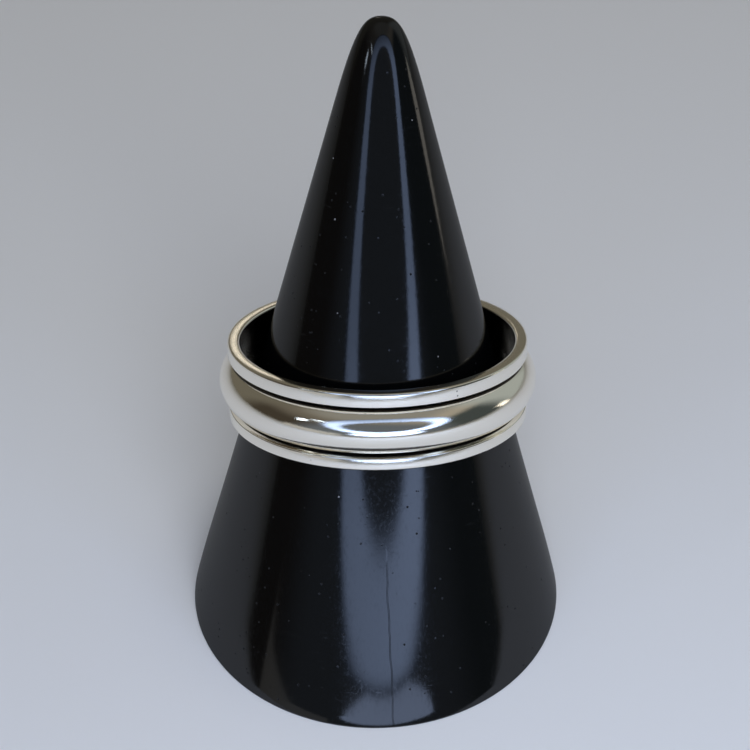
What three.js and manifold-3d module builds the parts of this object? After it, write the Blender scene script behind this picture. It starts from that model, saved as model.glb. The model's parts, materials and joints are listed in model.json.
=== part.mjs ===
// Fidget ring on a display cone.
// Millimetres, +Z up, the table at z = 0. The cone leans back, towards +Y, and is seen from -Y.
import * as THREE from 'three';
import { mergeVertices } from 'three/addons/utils/BufferGeometryUtils.js';
import Module from 'manifold-3d';

const wasm = await Module();
wasm.setup();

// The inner band. Heights run along the ring's axis from its lower face.
const boreRadius = 9.15;
const rimRadius = 10.0;
const sleeveRadius = 9.45;
const ringHeight = 5.32;
const lowerRimHeight = 0.82;
const upperRimHeight = 0.96;
const outerEdgeRound = 0.16;
const boreEdgeRound = 0.2;
const channelEdgeRound = 0.08;

// The turning band, half round in section.
const runningClearance = 0.08;
const crownRadius = 10.6;
const domeFootRadius = 9.65;
const gapBelow = 0.22;
const gapAbove = 0.26;

// The display cone. Heights run along its leaning axis from where that meets the table.
const leanAngle = THREE.MathUtils.degToRad(17.07);
const pointHeight = 45.0;
const coneSlope = 0.2733;
const flareTop = 15.0;
const flareGrowth = 0.0009;
const noseHeight = 39.64;
const noseStart = 34.5;
const noseSidePull = 5.0;
const noseTopPull = 1.0;
const wallThickness = 1.8;
const hollowNoseRadius = 1.2;

// Where the ring sits on the cone. It has settled a degree out of line, to its left.
const ringSeat = 12.51;
const ringRoll = THREE.MathUtils.degToRad(1.0);

const ringSides = 96;
const coneSides = 72;

// Radius of the cone's straight side, with the slight flare towards its foot.
function coneRadius(height) {
  const flare = Math.max(0, flareTop - height);
  return coneSlope * (pointHeight - height) + flareGrowth * flare * flare;
}

// A closed outline in radius and height, with each corner rounded by its own radius.
function roundedOutline(corners) {
  const path = new THREE.Path();
  corners.forEach(([radius, height, round], index) => {
    const corner = new THREE.Vector2(radius, height);
    const [before, after] = [-1, 1].map((step) => {
      const [x, y] = corners.at((index + step) % corners.length);
      return new THREE.Vector2(x, y).sub(corner).setLength(round).add(corner);
    });
    if (index === 0) {
      path.moveTo(before.x, before.y);
    } else {
      path.lineTo(before.x, before.y);
    }
    path.quadraticCurveTo(corner.x, corner.y, after.x, after.y);
  });
  path.closePath();
  return path.getPoints(2);
}

// Turns an outline about +Z.
function turned(outline, sides) {
  return new THREE.LatheGeometry(outline, sides).rotateX(Math.PI / 2);
}

// The same shape with shared vertices merged and the slivers at the axis dropped.
function welded(geometry) {
  const bare = geometry.clone();
  bare.deleteAttribute('normal');
  bare.deleteAttribute('uv');
  const merged = mergeVertices(bare, 1e-5);
  const corners = merged.index.array;
  const kept = [];
  for (let i = 0; i < corners.length; i += 3) {
    const [a, b, c] = corners.slice(i, i + 3);
    if (a !== b && b !== c && c !== a) {
      kept.push(a, b, c);
    }
  }
  merged.setIndex(kept);
  return merged;
}

function toSolid(geometry) {
  const shell = welded(geometry);
  return new wasm.Manifold(new wasm.Mesh({
    numProp: 3,
    vertProperties: new Float32Array(shell.attributes.position.array),
    triVerts: new Uint32Array(shell.index.array),
  }));
}

function toGeometry(solid) {
  const { vertProperties, triVerts } = solid.getMesh();
  const geometry = new THREE.BufferGeometry();
  geometry.setAttribute('position', new THREE.BufferAttribute(vertProperties, 3));
  geometry.setIndex(new THREE.BufferAttribute(triVerts, 1));
  geometry.computeVertexNormals();
  return geometry;
}

function namedMesh(name, geometry, material) {
  const mesh = new THREE.Mesh(geometry, material);
  mesh.name = name;
  return mesh;
}

// A sleeve with a raised rim at each end, which keep the turning band in its channel.
function innerBandGeometry() {
  const channelFoot = lowerRimHeight;
  const channelTop = ringHeight - upperRimHeight;
  return welded(turned(roundedOutline([
    [boreRadius, 0, boreEdgeRound],
    [rimRadius, 0, outerEdgeRound],
    [rimRadius, channelFoot, channelEdgeRound],
    [sleeveRadius, channelFoot, channelEdgeRound],
    [sleeveRadius, channelTop, channelEdgeRound],
    [rimRadius, channelTop, channelEdgeRound],
    [rimRadius, ringHeight, outerEdgeRound],
    [boreRadius, ringHeight, boreEdgeRound],
  ]), ringSides));
}

// A half-round band: flat inside, a domed arc outside, with narrow flat edges.
function spinnerGeometry() {
  const foot = lowerRimHeight + gapBelow;
  const top = ringHeight - upperRimHeight - gapAbove;
  const halfWidth = (top - foot) / 2;
  const rise = crownRadius - domeFootRadius;
  const domeRadius = (halfWidth ** 2 + rise ** 2) / (2 * rise);
  const domeAngle = Math.asin(halfWidth / domeRadius);
  const insideRadius = sleeveRadius + runningClearance;
  const path = new THREE.Path();
  path.moveTo(insideRadius, foot);
  path.lineTo(domeFootRadius, foot);
  path.absarc(crownRadius - domeRadius, (foot + top) / 2, domeRadius, -domeAngle, domeAngle);
  path.lineTo(insideRadius, top);
  path.closePath();
  return welded(turned(path.getPoints(7), ringSides));
}

// The cone's outer skin, from below the table up over the nose.
function coneOutside(lowest) {
  const side = new THREE.Path();
  side.moveTo(0, lowest);
  side.lineTo(coneRadius(lowest), lowest);
  const flareMiddle = (lowest + flareTop) / 2;
  side.quadraticCurveTo(
    coneSlope * (pointHeight - flareMiddle),
    flareMiddle,
    coneRadius(flareTop),
    flareTop,
  );
  side.lineTo(coneRadius(noseStart), noseStart);
  const sideLength = Math.hypot(coneSlope, 1);
  side.bezierCurveTo(
    coneRadius(noseStart) - (noseSidePull * coneSlope) / sideLength,
    noseStart + noseSidePull / sideLength,
    noseTopPull,
    noseHeight,
    0,
    noseHeight,
  );
  return side.getPoints(8);
}

// The core that the hollow is moulded round: the same cone, a wall's thickness smaller.
function coneHollow(lowest) {
  const wall = wallThickness * Math.hypot(coneSlope, 1);
  const noseFoot = pointHeight - (wall + hollowNoseRadius) / coneSlope;
  const side = new THREE.Path();
  side.moveTo(0, lowest);
  side.lineTo(coneRadius(lowest) - wall, lowest);
  side.lineTo(coneRadius(flareTop / 2) - wall, flareTop / 2);
  side.lineTo(hollowNoseRadius, noseFoot);
  side.absarc(0, noseFoot, hollowNoseRadius, 0, Math.PI / 2);
  return side.getPoints(4);
}

// The cone stands upright here in its own group, so the level base is a slanting cut.
function displayConeGeometry() {
  const lowest = -6;
  const shell = toSolid(turned(coneOutside(lowest), coneSides))
    .subtract(toSolid(turned(coneHollow(lowest - 1), coneSides)));
  const floor = new THREE.BoxGeometry(60, 60, 30).translate(0, 0, -15).rotateX(leanAngle);
  return toGeometry(shell.subtract(toSolid(floor)));
}

const silver = new THREE.MeshStandardMaterial({ color: 0xcfccc6, metalness: 1, roughness: 0.12 });
const spunSilver = new THREE.MeshStandardMaterial({ color: 0xd4d2cd, metalness: 1, roughness: 0.06 });
const blackPlastic = new THREE.MeshStandardMaterial({ color: 0x060708, metalness: 0, roughness: 0.08 });

const ring = new THREE.Group();
ring.position.z = ringSeat;
ring.rotation.y = -ringRoll;
ring.add(namedMesh('inner_band', innerBandGeometry(), silver));
ring.add(namedMesh('spinner_band', spinnerGeometry(), spunSilver));

const leaning = new THREE.Group();
leaning.rotation.x = -leanAngle;
leaning.add(namedMesh('display_cone', displayConeGeometry(), blackPlastic));
leaning.add(ring);

// The origin is the middle of the part's footprint box, on the table.
const part = new THREE.Group();
part.add(leaning);
part.updateMatrixWorld(true);
const middle = new THREE.Box3().setFromObject(part, true).getCenter(new THREE.Vector3());
leaning.position.set(-middle.x, -middle.y, 0);

export default part;
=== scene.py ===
"""Fidget ring on a display cone, finished for the render.

A silver band with a raised rim at each edge carries a half-round band that turns freely between
them. The ring sits on a glossy black cone that leans back. Sizes are in metres, +Z is up, and the
front faces -Y.
"""

import json
import math

import bmesh
import bpy
from mathutils import Matrix, Quaternion, Vector, noise


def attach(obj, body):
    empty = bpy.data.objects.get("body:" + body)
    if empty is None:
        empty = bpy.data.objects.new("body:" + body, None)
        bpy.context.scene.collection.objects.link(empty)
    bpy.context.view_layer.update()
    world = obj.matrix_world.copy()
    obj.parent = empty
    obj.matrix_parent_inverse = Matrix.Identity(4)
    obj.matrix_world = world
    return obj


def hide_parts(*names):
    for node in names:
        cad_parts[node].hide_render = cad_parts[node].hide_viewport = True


bl_info = {
    "name": "Fidget ring on a display cone",
    "version": (1, 0, 0),
    "blender": (4, 5, 0),
    "location": "3D View > Sidebar > Fidget Ring",
    "description": "Makes the silver spinner ring, its display cone and a plain studio stage",
    "category": "Object",
}

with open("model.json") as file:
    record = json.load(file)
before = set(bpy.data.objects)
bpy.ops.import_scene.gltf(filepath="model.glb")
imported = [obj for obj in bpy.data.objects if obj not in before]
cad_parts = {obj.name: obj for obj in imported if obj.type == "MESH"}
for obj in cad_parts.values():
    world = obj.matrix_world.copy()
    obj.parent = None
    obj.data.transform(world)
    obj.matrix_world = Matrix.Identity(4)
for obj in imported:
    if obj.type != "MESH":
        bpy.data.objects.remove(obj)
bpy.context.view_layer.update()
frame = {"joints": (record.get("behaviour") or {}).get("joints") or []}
turning = next(joint for joint in frame["joints"] if joint["name"] == "spinner_turn")

MM = 0.001
FULL_TURN = 2 * math.pi
SAME_PLACE = 0.001 * MM
WELD_REACH = 0.0001 * MM


# Sizes and colours that a user would change

def length(name, description, millimetres):
    """A distance property, given in millimetres."""
    return bpy.props.FloatProperty(
        name=name,
        description=description,
        default=millimetres * MM,
        unit="LENGTH",
        subtype="DISTANCE",
        precision=5,
    )


def colour(name, description, shade):
    """A colour property."""
    return bpy.props.FloatVectorProperty(
        name=name,
        description=description,
        default=shade,
        size=3,
        min=0.0,
        max=1.0,
        subtype="COLOR",
    )


def angle(name, description, degrees):
    """An angle property, given in degrees."""
    return bpy.props.FloatProperty(
        name=name,
        description=description,
        default=math.radians(degrees),
        subtype="ANGLE",
    )


def amount(name, description, value):
    """A plain number property."""
    return bpy.props.FloatProperty(name=name, description=description, default=value)


class RingSettings(bpy.types.PropertyGroup):
    """Sizes of both bands, along and across the ring's axis, and their silver."""

    bore_radius: length("Bore radius", "Inside radius of the inner band", 9.15)
    rim_radius: length("Rim radius", "Outside radius of both raised rims", 10.0)
    sleeve_radius: length("Sleeve radius", "Radius of the channel's floor", 9.45)
    height: length("Height", "The ring's whole height along its axis", 5.32)
    lower_rim: length("Lower rim", "Height of the lower rim", 0.82)
    upper_rim: length("Upper rim", "Height of the upper rim", 0.96)
    outer_edge: length("Outer edge", "Width of the bevel on the rims' outer edges", 0.16)
    bore_edge: length("Bore edge", "Width of the bevel on the bore's edges", 0.2)
    channel_edge: length("Channel edge", "Width of the bevel on the channel's edges", 0.07)
    crown_radius: length("Crown radius", "Radius of the turning band at its crown", 10.6)
    dome_foot: length("Dome foot", "Radius where the dome meets the band's flat edges", 9.65)
    dome_edge: length("Dome edge", "Width of the bevel where the dome meets those edges", 0.04)
    clearance: length("Clearance", "Radial room for the turning band to run", 0.08)
    gap_below: length("Gap below", "Room between the turning band and the lower rim", 0.22)
    gap_above: length("Gap above", "Room between the turning band and the upper rim", 0.26)
    hammering: length("Unevenness", "How far the hand finishing leaves the silver uneven", 0.012)
    silver: colour("Silver", "Colour of the polished silver", (0.97, 0.925, 0.825))
    # Besides tarnished silver in the channel, this colour is painted shade in the gaps beside the turning
    # band, under the rims and in the bore.
    tarnish_and_shade: colour("Tarnish", "Colour of the silver deep in the channel", (0.03, 0.024, 0.018))


class ConeSettings(bpy.types.PropertyGroup):
    """Sizes of the display cone along its leaning axis, and its plastic."""

    foot_back: length("Foot", "How far back the axis meets the table", -0.160)
    lean: angle("Lean", "How far the cone leans back", 17.07)
    point_height: length("Point height", "Where the straight sides would meet", 45.0)
    slope: amount("Slope", "Radius lost for each unit of height", 0.2733)
    flare_top: length("Flare top", "Where the flare towards the foot starts", 15.0)
    flare_growth: amount("Flare growth", "Radius that the flare adds, over its depth squared", 0.9)
    nose_height: length("Nose height", "Top of the rounded nose", 39.64)
    nose_start: length("Nose start", "Where the straight side turns into the nose", 34.5)
    nose_side_pull: length("Nose side pull", "How long the nose follows the side", 5.0)
    nose_top_pull: length("Nose top pull", "How wide the nose's top is", 1.0)
    wall: length("Wall", "Thickness of the moulded wall", 1.8)
    hollow_nose: length("Hollow nose", "Radius of the hollow's rounded end", 1.2)
    hollow_knee: length("Hollow knee", "Where the hollow's side changes its slope", 7.5)
    hollow_low: length("Hollow low end", "Where the hollow's lower slope would end, below the table", -6.0)
    levelled: length("Levelled height", "Up to where the outer rows slide to meet the table", 9.0)
    foot_edge: length("Foot edge", "Width of the rounded edge at the table", 0.14)
    tuck_height: length("Foot tuck height", "Where the side starts to turn in above the table", 3.7)
    tuck: length("Foot tuck", "How far the side turns in at the table", 0.09)
    plastic: colour("Plastic", "Colour of the black plastic", (0.0012, 0.0014, 0.0018))
    dust: colour("Dust", "Colour of the dust and scuffs", (0.5, 0.5, 0.52))
    gloss_ior: amount("Gloss IOR", "How strongly the polished skin mirrors", 2.2)
    dull_share: amount("Dull share", "Share of the surface that mirrors nothing", 0.67)


class StageSettings(bpy.types.PropertyGroup):
    """The camera's lens, the floor and the ring of light round the lens."""

    focal: amount("Focal length", "Lens in millimetres on a 36 mm sensor", 125.33)
    floor: colour("Floor", "Colour of the plain floor", (0.84, 0.845, 0.865))
    light_azimuth: angle("Light azimuth", "How far right the ring light's middle is", 9.2)
    light_elevation: angle("Light elevation", "How high the ring light's middle is", 41.2)
    light_distance: length("Light distance", "From the ring to the ring light", 110.0)
    light_outer_x: length("Light width", "Outer half width of the ring light", 100.0)
    light_outer_y: length("Light height", "Outer half height of the ring light", 64.0)
    light_inner_x: length("Opening width", "Half width of the opening for the lens", 61.0)
    light_inner_y: length("Opening height", "Half height of the opening for the lens", 38.0)
    light_inner_lift: length("Opening lift", "How far the opening lies above the light's middle", -6.0)
    light_strength: amount("Light strength", "Brightness of the ring light", 3.5)
    light_colour: colour("Light colour", "Colour of the ring light", (0.50, 0.65, 1.0))


# Shader expressions

class Wire:
    """A shader socket. Arithmetic on it adds Math nodes, and node() adds any other kind."""

    def __init__(self, tree, socket=None):
        self.tree = tree
        self.socket = socket

    def node(self, kind, settings=None, sockets=None, out=0):
        """Adds a node, applies its settings, fills its sockets and gives one of its outputs."""
        made = self.tree.nodes.new(kind)
        for name, value in (settings or {}).items():
            setattr(made, name, value)
        for name, value in (sockets or {}).items():
            if isinstance(value, Wire):
                self.tree.links.new(value.socket, made.inputs[name])
            else:
                made.inputs[name].default_value = value
        return Wire(self.tree, made.outputs[out]) if made.outputs else None

    def math(self, operation, *values):
        """A Math node on values or wires."""
        return self.node("ShaderNodeMath", {"operation": operation}, dict(enumerate(values)))

    def __add__(self, other):
        return self.math("ADD", self, other)

    def __radd__(self, other):
        return self.math("ADD", other, self)

    def __sub__(self, other):
        return self.math("SUBTRACT", self, other)

    def __rsub__(self, other):
        return self.math("SUBTRACT", other, self)

    def __mul__(self, other):
        return self.math("MULTIPLY", self, other)

    def __rmul__(self, other):
        return self.math("MULTIPLY", other, self)

    def __truediv__(self, other):
        return self.math("DIVIDE", self, other)

    def __rtruediv__(self, other):
        return self.math("DIVIDE", other, self)

    def __pow__(self, other):
        return self.math("POWER", self, other)

    def __abs__(self):
        return self.math("ABSOLUTE", self)

    def clamped(self):
        """The value held between 0 and 1."""
        return self.node("ShaderNodeClamp", sockets={"Value": self})

    def between(self, low, high):
        """A smooth rise from 0 at low to 1 at high."""
        return self.node(
            "ShaderNodeMapRange",
            {"interpolation_type": "SMOOTHSTEP"},
            {"Value": self, "From Min": low, "From Max": high},
        )

    def mixed(self, low_colour, high_colour):
        """A colour between two, with this wire as the factor."""
        return self.node(
            "ShaderNodeMix",
            {"data_type": "RGBA"},
            {"Factor": self, 6: low_colour, 7: high_colour},
            out=2,
        )

    def parts(self):
        """The x, y and z wires of a vector wire."""
        first = self.node("ShaderNodeSeparateXYZ", sockets={"Vector": self})
        outputs = first.socket.node.outputs
        return [Wire(self.tree, outputs[axis]) for axis in "XYZ"]

    def noise(self, scale, detail=2.0, roughness=0.5):
        """Noise of about 0 to 1 on this vector."""
        return self.node(
            "ShaderNodeTexNoise",
            sockets={"Vector": self, "Scale": scale, "Detail": detail, "Roughness": roughness},
        )

    def cells(self, scale, shift=0.0):
        """Distance to the nearest of many scattered points, in cell widths."""
        moved = self.node(
            "ShaderNodeVectorMath",
            {"operation": "ADD"},
            {0: self, 1: (shift, shift, shift)},
        )
        return self.node(
            "ShaderNodeTexVoronoi",
            {"feature": "F1"},
            {"Vector": moved, "Scale": scale},
        )


def rgba(shade):
    """A colour with full alpha."""
    return (*shade, 1.0)


def new_finish(name):
    """An empty material and the wire that its nodes start from."""
    material = bpy.data.materials.new(name)
    material.use_nodes = True
    material.node_tree.nodes.clear()
    return material, Wire(material.node_tree)


def finish_surface(start, sockets):
    """A Principled surface with the given sockets, joined to the output."""
    surface = start.node("ShaderNodeBsdfPrincipled", sockets=sockets)
    start.node("ShaderNodeOutputMaterial", sockets={"Surface": surface})


def object_coordinates(start):
    """Object coordinates as one vector wire."""
    return start.node("ShaderNodeTexCoord", out=3)


def turned_coordinates(start, placing):
    """Object coordinates about a piece's own axis, in millimetres.

    Gives the radius, the height and the bearing from the front as values, and the place as one vector.
    """
    inverse = placing.inverted()
    local = start.node(
        "ShaderNodeMapping",
        {"vector_type": "POINT"},
        {
            "Vector": object_coordinates(start),
            "Location": inverse.to_translation(),
            "Rotation": inverse.to_euler(),
        },
    )
    place = start.node(
        "ShaderNodeVectorMath",
        {"operation": "SCALE"},
        {0: local, "Scale": 1 / MM},
    )
    x, y, height = place.parts()
    radius = (x * x + y * y) ** 0.5
    bearing = start.math("ARCTAN2", x, y * -1.0)
    return radius, height, bearing, place


def stretched(start, x, y, z):
    """One vector from three values."""
    return start.node("ShaderNodeCombineXYZ", sockets={"X": x, "Y": y, "Z": z})


# Mesh helpers

def spinner_edges():
    """Heights of the turning band's lower and upper edges along the ring's axis."""
    sizes = bpy.context.scene.fidget_ring
    foot = sizes.lower_rim + sizes.gap_below
    top = sizes.height - sizes.upper_rim - sizes.gap_above
    return foot, top


def ring_placing():
    """Turns the ring's own axes, with its lower face at height 0, into the model's."""
    axis = Vector(turning["axis"]).normalized()
    right = Vector((0.0, 1.0, 0.0)).cross(axis).normalized()
    back = axis.cross(right)
    turn = Matrix((right, back, axis)).transposed().to_4x4()
    spinner_middle = sum(spinner_edges()) / 2
    return Matrix.Translation(turning["pos_m"]) @ turn @ Matrix.Translation((0, 0, -spinner_middle))


def cone_placing():
    """Turns the cone's own axes into the model's."""
    sizes = bpy.context.scene.display_cone
    return Matrix.Translation((0.0, sizes.foot_back, 0.0)) @ Matrix.Rotation(-sizes.lean, 4, "X")


def chain(bm, points, closed=False):
    """Joins points of radius and height by edges in the plane of +X and +Z."""
    verts = [bm.verts.new((radius, 0.0, height)) for radius, height in points]
    pairs = list(zip(verts, verts[1:]))
    if closed:
        pairs.append((verts[-1], verts[0]))
    edges = [bm.edges.new(pair) for pair in pairs]
    return verts + edges


def turn_round(bm, geometry, steps):
    """Spins an outline a full turn about +Z."""
    bmesh.ops.spin(
        bm,
        geom=geometry,
        cent=(0, 0, 0),
        axis=(0, 0, 1),
        dvec=(0, 0, 0),
        angle=FULL_TURN,
        steps=steps,
        use_merge=True,
        use_duplicate=False,
    )
    bmesh.ops.remove_doubles(bm, verts=bm.verts, dist=WELD_REACH)
    bmesh.ops.recalc_face_normals(bm, faces=bm.faces)


def round_edges(bm, edges, width, segments):
    """Bevels edges to a round."""
    bmesh.ops.bevel(
        bm,
        geom=edges,
        offset=width,
        offset_type="OFFSET",
        segments=segments,
        profile=0.5,
        affect="EDGES",
        material=-1,
    )


def round_hoops(bm, radius, heights, width, segments):
    """Rounds the hoops of edges that lie at a radius and at one of some heights."""

    def on_hoop(vert):
        return abs(math.hypot(vert.co.x, vert.co.y) - radius) < SAME_PLACE and any(
            abs(vert.co.z - height) < SAME_PLACE for height in heights
        )

    hoops = [
        edge
        for edge in bm.edges
        if all(on_hoop(vert) for vert in edge.verts)
        and abs(edge.verts[0].co.z - edge.verts[1].co.z) < SAME_PLACE
    ]
    round_edges(bm, hoops, width, segments)


def new_piece(name, bm, placing, finish, body, node):
    """Ends a mesh: places it, shades it, hangs it on the body it rides on, and hides the CAD part that it
    takes the place of.
    """
    bmesh.ops.transform(bm, matrix=placing, verts=bm.verts)
    mesh = bpy.data.meshes.new(name)
    bm.to_mesh(mesh)
    bm.free()
    mesh.polygons.foreach_set("use_smooth", [True] * len(mesh.polygons))
    mesh.materials.append(finish)
    piece = bpy.data.objects.new(name, mesh)
    bpy.context.scene.collection.objects.link(piece)
    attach(piece, body)
    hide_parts(node)


# Finishes

def polished_silver(start, shade, roughness, relief):
    """A metal surface with a shallow relief."""
    bump = start.node(
        "ShaderNodeBump",
        sockets={"Height": relief, "Strength": 0.10, "Distance": 0.04 * MM},
    )
    finish_surface(start, {
        "Base Color": shade,
        "Metallic": 1.0,
        "Roughness": roughness,
        "Normal": bump,
    })


def band_silver():
    """Hand-finished silver: walls brushed round the band, brighter edges, a channel that is tarnished and
    darkened by painted shade, and painted shade in the bore.
    """
    sizes = bpy.context.scene.fidget_ring
    material, start = new_finish("band_silver")
    radius, height, bearing, place = turned_coordinates(start, ring_placing())
    brushed = stretched(start, radius * 9.0, height * 9.0, bearing * 3.0)
    round_grain = brushed.noise(4.0, detail=4.0, roughness=0.6)
    scratched = stretched(start, radius * 4.0, height * 14.0, bearing * 7.0)
    scratches = scratched.noise(3.0, detail=6.0, roughness=0.75)
    cloudy = (place.noise(0.55, detail=3.0, roughness=0.55) - 0.5) * 0.12

    # The channel under the turning band, tarnished where polishing doesn't reach and darkened by painted
    # shade in the gaps between the bands.
    channel_foot = sizes.lower_rim / MM
    channel_top = (sizes.height - sizes.upper_rim) / MM
    rim = sizes.rim_radius / MM
    bore = sizes.bore_radius / MM
    above_foot = height.between(channel_foot - 0.03, channel_foot - 0.01)
    below_top = 1.0 - height.between(channel_top + 0.01, channel_top + 0.03)
    inside_edge = 1.0 - radius.between(rim - 0.42, rim - 0.34)
    outside_bore = radius.between(bore + 0.08, bore + 0.16)
    tarnished_and_shaded = above_foot * below_top * inside_edge * outside_bore

    # Specks of grime in patches, and painted shade that darkens the bore.
    specks = 1.0 - place.cells(1.5).between(0.05, 0.11)
    patches = place.noise(0.9, detail=2.0).between(0.50, 0.58)
    grimy = specks * patches * 0.8
    bore_shade = (1.0 - radius.between(bore + 0.02, bore + 0.07)) * 0.75
    tone = (tarnished_and_shaded + grimy + bore_shade + cloudy).clamped()
    polished_silver(
        start,
        shade=tone.mixed(rgba(sizes.silver), rgba(sizes.tarnish_and_shade)),
        roughness=0.075 + round_grain * 0.08 + tarnished_and_shaded * 0.3,
        relief=round_grain * 0.6 + scratches * 0.4,
    )
    return material


def spinner_silver():
    """Bright polished silver with fine scratches that run mostly round the band, tarnished at its edges
    and darkened there by painted shade.
    """
    sizes = bpy.context.scene.fidget_ring
    material, start = new_finish("spinner_silver")
    radius, height, bearing, place = turned_coordinates(start, ring_placing())
    scratched = stretched(start, radius * 2.0, height * 16.0, bearing * 6.0)
    scratches = scratched.noise(3.0, detail=6.0, roughness=0.8)
    dings = place.noise(1.6, detail=5.0, roughness=0.75)
    smudges = place.noise(0.8, detail=3.0, roughness=0.6)
    deep_scratches = scratches.between(0.55, 0.8)

    # The dome's foot is tarnished and darkened by painted shade, which reaches a little further out above
    # the middle, under the upper rim.
    foot = sizes.dome_foot / MM
    middle = sum(spinner_edges()) / 2 / MM
    upper_reach = height.between(middle, middle + 0.3) * 0.17
    tarnished_and_shaded = 1.0 - (radius - upper_reach).between(foot - 0.03, foot + 0.02)
    polished_silver(
        start,
        shade=tarnished_and_shaded.mixed(rgba(sizes.silver), rgba(sizes.tarnish_and_shade)),
        roughness=0.03 + smudges * 0.04 + deep_scratches * 0.06 + tarnished_and_shaded * 0.3,
        relief=scratches * 0.5 + dings * 0.9,
    )
    return material


def black_plastic():
    """Glossy black moulded plastic with pits, faint scuffs, dust and its mould line."""
    sizes = bpy.context.scene.display_cone
    material, start = new_finish("black_plastic")
    radius, height, _, place = turned_coordinates(start, cone_placing())
    across, back, _ = place.parts()

    # The mould line runs up the lower front, a little right of the middle, and wanders.
    front = (back * -1.0).between(0.0, 1.0)
    low = 1.0 - height.between(5.5, 7.5)
    wander = stretched(start, 0.0, 0.0, height).noise(0.35, detail=2.0) - 0.5
    beside_line = abs(across - 1.35 - wander * 0.4 + height * 0.06)
    mould_line = (1.0 - beside_line.between(0.015, 0.055)) * front * low

    pits = 1.0 - place.cells(1.5).between(0.06, 0.12)
    patches = place.noise(0.35, detail=1.0).between(0.46, 0.56)
    pitted = pits * patches
    dust = (1.0 - place.cells(0.42, shift=7.3).between(0.018, 0.030)) * 0.5
    scuff_grain = stretched(start, across * 0.6, height * 3.5, radius)
    scuffs = scuff_grain.noise(1.2, detail=5.0, roughness=0.7).between(0.62, 0.8)
    swirl = place.noise(0.5, detail=2.0)
    mottle_grain = stretched(start, across * 3.0, back * 3.0, height * 1.3)
    mottle = mottle_grain.noise(2.2, detail=4.0, roughness=0.7).between(0.5, 0.72)

    bump = start.node(
        "ShaderNodeBump",
        sockets={
            "Height": 1.0 - pitted - mould_line * 0.8 + scuffs * 0.05 + mottle * 0.025,
            "Strength": 0.35,
            "Distance": 0.05 * MM,
        },
    )
    worn = (scuffs * 0.02 + dust).clamped()
    shade = worn.mixed(rgba(sizes.plastic), rgba(sizes.dust))
    gloss = start.node("ShaderNodeBsdfPrincipled", sockets={
        "Base Color": shade,
        "Roughness": 0.06 + swirl * 0.04 + mottle * 0.06 + scuffs * 0.12 + pitted * 0.8,
        "IOR": sizes.gloss_ior,
        "Normal": bump,
    })
    dull = start.node("ShaderNodeBsdfDiffuse", sockets={"Color": shade})
    plastic = start.node("ShaderNodeMixShader", sockets={0: sizes.dull_share, 1: gloss, 2: dull})
    start.node("ShaderNodeOutputMaterial", sockets={"Surface": plastic})
    return material


# Pieces

def uneven(bm, depth, scale, seed):
    """Moves each vertex in or out a little, as filing and polishing by hand does."""
    shift = Vector((seed, seed * 0.7, seed * 1.3))
    for vert in bm.verts:
        outward = Vector((vert.co.x, vert.co.y, 0.0)).normalized()
        wave = noise.noise(vert.co * scale + shift)
        vert.co += outward * wave * depth


class OBJECT_OT_inner_band(bpy.types.Operator):
    """Make the inner band with its two raised rims"""

    bl_idname = "object.inner_band"
    bl_label = "Inner Band"

    def execute(self, context):
        sizes = context.scene.fidget_ring
        channel_foot = sizes.lower_rim
        channel_top = sizes.height - sizes.upper_rim
        bm = bmesh.new()
        outline = [
            (sizes.bore_radius, 0.0),
            (sizes.rim_radius, 0.0),
            (sizes.rim_radius, channel_foot),
            (sizes.sleeve_radius, channel_foot),
            (sizes.sleeve_radius, channel_top),
            (sizes.rim_radius, channel_top),
            (sizes.rim_radius, sizes.height),
            (sizes.bore_radius, sizes.height),
        ]
        ends = [0.0, sizes.height]
        channel = [channel_foot, channel_top]
        turn_round(bm, chain(bm, outline, closed=True), steps=288)
        round_hoops(bm, sizes.rim_radius, ends, sizes.outer_edge, segments=5)
        round_hoops(bm, sizes.bore_radius, ends, sizes.bore_edge, segments=5)
        round_hoops(bm, sizes.rim_radius, channel, sizes.channel_edge, segments=3)
        uneven(bm, depth=sizes.hammering, scale=260.0, seed=3.1)
        new_piece(
            "inner_band_silver",
            bm,
            ring_placing(),
            band_silver(),
            body="stand",
            node="inner_band",
        )
        return {"FINISHED"}


class OBJECT_OT_spinner_band(bpy.types.Operator):
    """Make the half-round band that turns between the rims"""

    bl_idname = "object.spinner_band"
    bl_label = "Spinner Band"

    def execute(self, context):
        sizes = context.scene.fidget_ring
        foot, top = spinner_edges()
        middle = (foot + top) / 2
        half_width = (top - foot) / 2
        rise = sizes.crown_radius - sizes.dome_foot
        dome_radius = (half_width**2 + rise**2) / (2 * rise)
        dome_angle = math.asin(half_width / dome_radius)
        inside = sizes.sleeve_radius + sizes.clearance
        bm = bmesh.new()
        first = bm.verts.new((sizes.dome_foot, 0.0, foot))
        bmesh.ops.spin(
            bm,
            geom=[first],
            cent=(sizes.crown_radius - dome_radius, 0.0, middle),
            axis=(0, -1, 0),
            dvec=(0, 0, 0),
            angle=2 * dome_angle,
            steps=28,
            use_merge=False,
            use_duplicate=False,
        )
        last = max(bm.verts, key=lambda vert: vert.co.z)
        inner_top = bm.verts.new((inside, 0.0, top))
        inner_foot = bm.verts.new((inside, 0.0, foot))
        for pair in ((last, inner_top), (inner_top, inner_foot), (inner_foot, first)):
            bm.edges.new(pair)
        turn_round(bm, [*bm.verts, *bm.edges], steps=360)
        round_hoops(bm, sizes.dome_foot, [foot, top], sizes.dome_edge, segments=2)
        uneven(bm, depth=sizes.hammering / 2, scale=180.0, seed=8.4)
        new_piece(
            "spinner_silver",
            bm,
            ring_placing(),
            spinner_silver(),
            body="spinner",
            node="spinner_band",
        )
        return {"FINISHED"}


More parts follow.
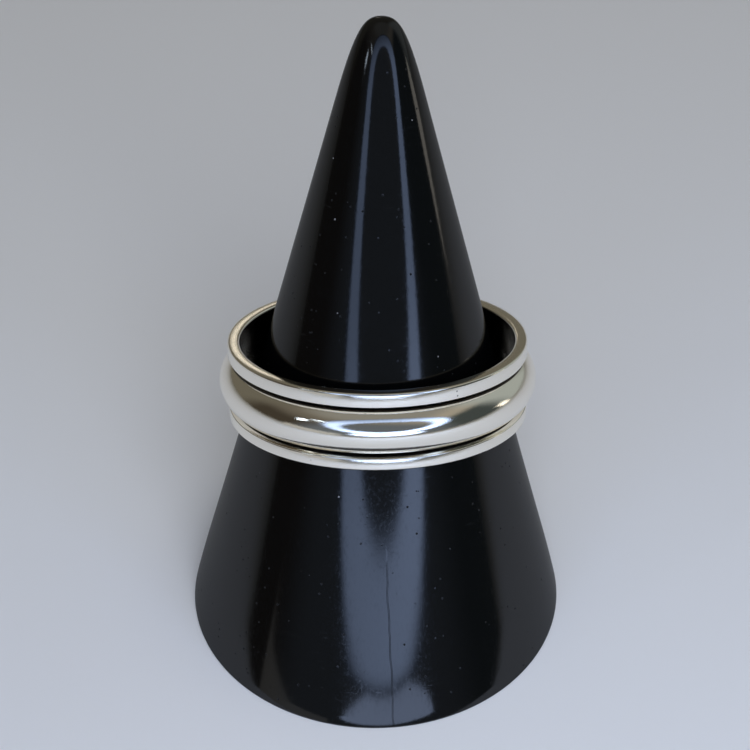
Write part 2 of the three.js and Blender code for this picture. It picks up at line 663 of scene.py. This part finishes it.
class OBJECT_OT_display_cone(bpy.types.Operator):
    """Make the leaning display cone with its rounded nose and level foot"""

    bl_idname = "object.display_cone"
    bl_label = "Display Cone"

    def outside_radius(self, sizes, height):
        """Radius of the outer side at a height, with the flare towards the foot."""
        flare = max(0.0, sizes.flare_top - height)
        return sizes.slope * (sizes.point_height - height) + sizes.flare_growth * flare**2

    def level_wall(self, sizes):
        """Thickness of the slanting wall, measured square to the cone's axis."""
        return sizes.wall * math.hypot(sizes.slope, 1.0)

    def hollow_radius(self, sizes, height):
        """Radius of the hollow's straight side at a height, up to its knee."""
        knee = sizes.hollow_knee
        low = sizes.hollow_low
        knee_radius = self.outside_radius(sizes, knee) - self.level_wall(sizes)
        low_radius = self.outside_radius(sizes, low) - self.level_wall(sizes)
        return knee_radius + (low_radius - knee_radius) * (knee - height) / (knee - low)

    def outside(self, sizes):
        """Points of radius and height from the foot over the nose."""
        side_steps = 70
        nose_steps = 32
        points = []
        for step in range(side_steps):
            height = sizes.nose_start * step / side_steps
            points.append((self.outside_radius(sizes, height), height))
        start = Vector((self.outside_radius(sizes, sizes.nose_start), sizes.nose_start))
        along = Vector((-sizes.slope, 1.0)).normalized()
        pulls = [
            start,
            start + along * sizes.nose_side_pull,
            Vector((sizes.nose_top_pull, sizes.nose_height)),
            Vector((0.0, sizes.nose_height)),
        ]
        for step in range(nose_steps + 1):
            t = step / nose_steps
            weights = ((1 - t) ** 3, 3 * (1 - t) ** 2 * t, 3 * (1 - t) * t**2, t**3)
            point = sum((pull * weight for pull, weight in zip(pulls, weights)), Vector((0.0, 0.0)))
            points.append((point.x, point.y))
        return points

    def hollow(self, sizes):
        """Points of radius and height of the hollow inside the wall, from the foot over its nose."""
        low_steps = 6
        nose_steps = 8
        nose = sizes.hollow_nose
        nose_foot = sizes.point_height - (self.level_wall(sizes) + nose) / sizes.slope
        points = []
        for step in range(low_steps + 1):
            height = sizes.hollow_knee * step / low_steps
            points.append((self.hollow_radius(sizes, height), height))
        for step in range(nose_steps + 1):
            turn = math.pi / 2 * step / nose_steps
            points.append((nose * math.cos(turn), nose_foot + nose * math.sin(turn)))
        return points

    def level_rows(self, sizes, verts, radius_at, top):
        """Slides the rows below a height along the side, so that the lowest runs level on the table."""
        rounds_to_settle = 8
        for vert in verts:
            if vert.co.z >= top:
                continue
            outward = Vector((vert.co.x, vert.co.y, 0.0)).normalized()
            foot = 0.0
            for _ in range(rounds_to_settle):
                foot = (radius_at(sizes, foot) - sizes.tuck) * outward.y * math.tan(sizes.lean)
            height = foot + (top - foot) * vert.co.z / top
            tuck = max(0.0, 1.0 - (height - foot) / sizes.tuck_height) ** 2 * sizes.tuck
            vert.co = outward * (radius_at(sizes, height) - tuck)
            vert.co.z = height

    def execute(self, context):
        sizes = context.scene.display_cone
        bm = bmesh.new()
        outline = [*reversed(self.hollow(sizes)), *self.outside(sizes)]
        turn_round(bm, chain(bm, outline), steps=256)
        outer_verts = set()
        hollow_verts = set()
        for vert in bm.verts:
            middle_of_wall = self.outside_radius(sizes, vert.co.z) - sizes.wall / 2
            if math.hypot(vert.co.x, vert.co.y) > middle_of_wall:
                outer_verts.add(vert)
            else:
                hollow_verts.add(vert)
        outer_foot = [
            edge
            for edge in bm.edges
            if all(vert in outer_verts and abs(vert.co.z) < SAME_PLACE for vert in edge.verts)
        ]
        self.level_rows(sizes, outer_verts, self.outside_radius, sizes.levelled)
        self.level_rows(sizes, hollow_verts, self.hollow_radius, sizes.hollow_knee)
        round_edges(bm, outer_foot, sizes.foot_edge, segments=4)
        new_piece(
            "display_cone_plastic",
            bm,
            cone_placing(),
            black_plastic(),
            body="stand",
            node="display_cone",
        )
        return {"FINISHED"}


# Stage

class OBJECT_OT_ring_stage(bpy.types.Operator):
    """Make the plain floor, the soft lights and the camera"""

    bl_idname = "object.ring_stage"
    bl_label = "Stage, Lights and Camera"

    def towards(self, azimuth, elevation):
        """The direction at an azimuth, from the front towards the right, and an elevation, in radians."""
        level = math.cos(elevation)
        return Vector((math.sin(azimuth) * level, -math.cos(azimuth) * level, math.sin(elevation)))

    def stage_piece(self, name, bm, finish):
        """Adds a mesh that belongs to the stage."""
        mesh = bpy.data.meshes.new(name)
        bm.to_mesh(mesh)
        bm.free()
        mesh.materials.append(finish)
        piece = bpy.data.objects.new(name, mesh)
        bpy.context.scene.collection.objects.link(piece)
        return piece

    def floor(self, settings):
        """A plain pale floor."""
        material, start = new_finish("plain_floor")
        finish_surface(start, {"Base Color": rgba(settings.floor), "Roughness": 0.9})
        bm = bmesh.new()
        bmesh.ops.create_circle(bm, cap_ends=True, segments=96, radius=2.5)
        self.stage_piece("floor", bm, material)

    def ring_glow(self, settings, middle, across, up):
        """The ring light's glow: soft at both edges, brightest low on its right, and dark behind."""
        material, start = new_finish("ring_light")
        offset = start.node(
            "ShaderNodeVectorMath",
            {"operation": "SUBTRACT"},
            {0: object_coordinates(start), 1: middle},
        )
        dot = {"operation": "DOT_PRODUCT"}
        side = start.node("ShaderNodeVectorMath", dot, {0: offset, 1: across}, out=1)
        lift = start.node("ShaderNodeVectorMath", dot, {0: offset, 1: up}, out=1)
        outer_side = side / settings.light_outer_x
        outer_lift = lift / settings.light_outer_y
        inner_side = side / settings.light_inner_x
        inner_lift = (lift - settings.light_inner_lift) / settings.light_inner_y
        outer_reach = (outer_side * outer_side + outer_lift * outer_lift) ** 0.5
        inner_reach = (inner_side * inner_side + inner_lift * inner_lift) ** 0.5

        outer_edge = 1.0 - outer_reach.between(0.91, 1.0)
        inner_edge = inner_reach.between(1.0, 1.10)
        middle_loss = outer_lift.between(-0.7, -0.25) * 0.34
        top_loss = outer_lift.between(0.1, 0.9) * 0.44
        left_to_right = 0.74 + outer_side.between(-0.8, 0.6) * 0.26
        brightness = outer_edge * inner_edge * (1.0 - middle_loss - top_loss) * left_to_right
        glow = start.node("ShaderNodeEmission", sockets={
            "Color": brightness.mixed(rgba((0.0, 0.0, 0.0)), rgba(settings.light_colour)),
            "Strength": settings.light_strength,
        })
        dark = start.node("ShaderNodeEmission", sockets={"Strength": 0.0})
        backfacing = start.node("ShaderNodeNewGeometry", out=6)
        sided = start.node("ShaderNodeMixShader", sockets={0: backfacing, 1: glow, 2: dark})
        start.node("ShaderNodeOutputMaterial", sockets={"Surface": sided})
        return material

    def ring_light(self, settings):
        """A soft oval ring of light round the lens, which shines only towards the ring."""
        out = self.towards(settings.light_azimuth, settings.light_elevation)
        across = Vector((0.0, 0.0, 1.0)).cross(out).normalized()
        up = out.cross(across)
        middle = Vector(turning["pos_m"]) + out * settings.light_distance
        bm = bmesh.new()
        for half_width, half_height, oval_lift in (
            (settings.light_outer_x, settings.light_outer_y, 0.0),
            (settings.light_inner_x, settings.light_inner_y, settings.light_inner_lift),
        ):
            oval = bmesh.ops.create_circle(bm, cap_ends=False, segments=96, radius=1.0)
            bmesh.ops.scale(bm, vec=(half_width, half_height, 1.0), verts=oval["verts"])
            bmesh.ops.translate(bm, vec=(0.0, oval_lift, 0.0), verts=oval["verts"])
        bmesh.ops.bridge_loops(bm, edges=bm.edges)
        turn = Matrix((across, up, out)).transposed().to_4x4()
        bmesh.ops.transform(bm, matrix=Matrix.Translation(middle) @ turn, verts=bm.verts)
        for face in bm.faces:
            face.normal_update()
            if face.normal.dot(out) > 0:
                face.normal_flip()
        light = self.stage_piece("ring_light", bm, self.ring_glow(settings, middle, across, up))
        light.visible_camera = False
        light.visible_shadow = False

    def soft_light(
        self,
        name,
        azimuth,
        elevation,
        distance,
        width,
        height,
        power,
        shade,
        shape="RECTANGLE",
        roll=0.0,
        reflected=True,
    ):
        """A soft box that faces the ring. Angles are in degrees, sizes in metres and power in watts."""
        light = bpy.data.lights.new(name, "AREA")
        light.shape = shape
        light.size = width
        light.size_y = height
        light.energy = power
        light.color = shade
        lamp = bpy.data.objects.new(name, light)
        out = self.towards(math.radians(azimuth), math.radians(elevation))
        lamp.location = Vector(turning["pos_m"]) + out * distance
        rolled = Quaternion((0, 0, 1), math.radians(roll))
        lamp.rotation_mode = "QUATERNION"
        lamp.rotation_quaternion = out.to_track_quat("Z", "Y") @ rolled
        lamp.visible_camera = False
        lamp.visible_glossy = reflected
        bpy.context.scene.collection.objects.link(lamp)

    def room(self):
        """The dim room that the silver mirrors, blended from walls that change with the direction.

        It is brown to the left, dark below and beige above to the right, and cool grey in front. Behind,
        it is brown on the left and pale on the right, and overhead it is a warm grey.
        """
        world = bpy.data.worlds.new("room")
        world.use_nodes = True
        world.node_tree.nodes.clear()
        start = Wire(world.node_tree)
        x, y, z = start.node("ShaderNodeTexCoord", out=0).parts()
        left_wall = z.between(0.35, 0.85).mixed(rgba((0.048, 0.040, 0.030)), rgba((0.15, 0.135, 0.11)))
        near_right = z.between(0.28, 0.55).mixed(rgba((0.06, 0.075, 0.07)), rgba((0.34, 0.31, 0.26)))
        far_right = z.between(0.55, 0.75).mixed(rgba((0.05, 0.06, 0.06)), rgba((0.30, 0.28, 0.24)))
        right_wall = x.between(0.60, 0.80).mixed(near_right, far_right)
        side_walls = x.between(-0.15, 0.60).mixed(left_wall, right_wall)
        front_wall = rgba((0.115, 0.13, 0.15))
        back_wall = x.between(0.30, 0.60).mixed(rgba((0.13, 0.12, 0.095)), rgba((0.34, 0.37, 0.36)))
        ceiling = rgba((0.23, 0.225, 0.205))
        with_front = (y * -1.0).between(0.40, 0.75).mixed(side_walls, front_wall)
        with_back = y.between(0.05, 0.45).mixed(with_front, back_wall)
        with_ceiling = z.between(0.75, 0.95).mixed(with_back, ceiling)
        light = start.node("ShaderNodeBackground", sockets={"Color": with_ceiling, "Strength": 1.0})
        start.node("ShaderNodeOutputWorld", sockets={"Surface": light})
        bpy.context.scene.world = world

    def camera(self, settings):
        """The camera at the photograph's viewing angle, fitted to the outlines in it."""
        fitted_place = Vector((4.56, -130.96, 125.53)) * MM
        fitted_right = Vector((0.99942, 0.03405, -0.00154))
        fitted_forward = Vector((-0.02729, 0.77224, -0.63475))
        forward = fitted_forward.normalized()
        up = fitted_right.cross(forward).normalized()
        right = forward.cross(up)
        lens = bpy.data.cameras.new("camera")
        lens.sensor_width = 36.0
        lens.lens = settings.focal
        lens.clip_start = 0.01
        lens.clip_end = 10.0
        camera = bpy.data.objects.new("camera", lens)
        camera.rotation_mode = "QUATERNION"
        camera.rotation_quaternion = Matrix((right, up, -forward)).transposed().to_quaternion()
        camera.location = fitted_place
        bpy.context.scene.collection.objects.link(camera)
        bpy.context.scene.camera = camera

    def mirrored_lights(self):
        """The small lights whose shapes show in the silver and in the plastic."""
        blue = (0.52, 0.66, 1.0)
        blue_white = (0.72, 0.84, 1.0)
        warm_white = (1.0, 0.93, 0.82)
        cream = (1.0, 0.98, 0.94)
        self.soft_light(
            "low_light", azimuth=8, elevation=8, distance=0.16,
            width=0.146, height=0.034, power=0.036, shade=blue, shape="ELLIPSE",
        )
        self.soft_light(
            "window", azimuth=102, elevation=3, distance=0.6,
            width=0.09, height=0.12, power=0.045, shade=warm_white, roll=14,
        )
        self.soft_light(
            "left_card", azimuth=-44, elevation=1, distance=0.3,
            width=0.22, height=0.05, power=0.010, shade=cream,
        )
        self.soft_light(
            "back_glint", azimuth=-174, elevation=6, distance=0.6,
            width=0.07, height=0.05, power=0.008, shade=warm_white, shape="ELLIPSE",
        )
        self.soft_light(
            "left_glint", azimuth=-62, elevation=31, distance=0.6,
            width=0.05, height=0.07, power=0.05, shade=blue_white, shape="ELLIPSE",
        )
        self.soft_light(
            "left_line", azimuth=-50, elevation=41, distance=0.6,
            width=0.14, height=0.016, power=0.03, shade=blue_white, shape="ELLIPSE", roll=-12,
        )

    def fill_lights(self):
        """Two lights that brighten the floor and soften the shadow, and aren't mirrored."""
        cool_white = (0.90, 0.94, 1.0)
        soft_white = (1.0, 0.98, 0.96)
        self.soft_light(
            "table_light", azimuth=14, elevation=44, distance=0.20,
            width=0.12, height=0.12, power=0.16, shade=cool_white, reflected=False,
        )
        self.soft_light(
            "top_light", azimuth=150, elevation=75, distance=0.40,
            width=0.20, height=0.20, power=0.22, shade=soft_white, reflected=False,
        )

    def execute(self, context):
        settings = context.scene.ring_stage
        context.scene.view_settings.view_transform = "Standard"
        self.floor(settings)
        self.ring_light(settings)
        self.mirrored_lights()
        self.fill_lights()
        self.room()
        self.camera(settings)
        return {"FINISHED"}


class VIEW3D_PT_fidget_ring(bpy.types.Panel):
    """Lists what makes the ring, its cone and the stage"""

    bl_idname = "VIEW3D_PT_fidget_ring"
    bl_label = "Fidget Ring"
    bl_space_type = "VIEW_3D"
    bl_region_type = "UI"
    bl_category = "Fidget Ring"

    def draw(self, context):
        layout = self.layout
        for operator in OPERATORS:
            layout.operator(operator.bl_idname)
        for group in (context.scene.fidget_ring, context.scene.display_cone, context.scene.ring_stage):
            box = layout.box()
            for name in group.bl_rna.properties.keys():
                if name not in {"rna_type", "name"}:
                    box.prop(group, name)


OPERATORS = (
    OBJECT_OT_ring_stage,
    OBJECT_OT_display_cone,
    OBJECT_OT_inner_band,
    OBJECT_OT_spinner_band,
)
CLASSES = (RingSettings, ConeSettings, StageSettings, *OPERATORS, VIEW3D_PT_fidget_ring)


def register():
    for cls in CLASSES:
        bpy.utils.register_class(cls)
    bpy.types.Scene.fidget_ring = bpy.props.PointerProperty(type=RingSettings)
    bpy.types.Scene.display_cone = bpy.props.PointerProperty(type=ConeSettings)
    bpy.types.Scene.ring_stage = bpy.props.PointerProperty(type=StageSettings)


def unregister():
    del bpy.types.Scene.ring_stage
    del bpy.types.Scene.display_cone
    del bpy.types.Scene.fidget_ring
    for cls in reversed(CLASSES):
        bpy.utils.unregister_class(cls)


def main():
    register()
    bpy.ops.object.ring_stage()
    bpy.ops.object.display_cone()
    bpy.ops.object.inner_band()
    bpy.ops.object.spinner_band()


if __name__ == "__main__":
    main()
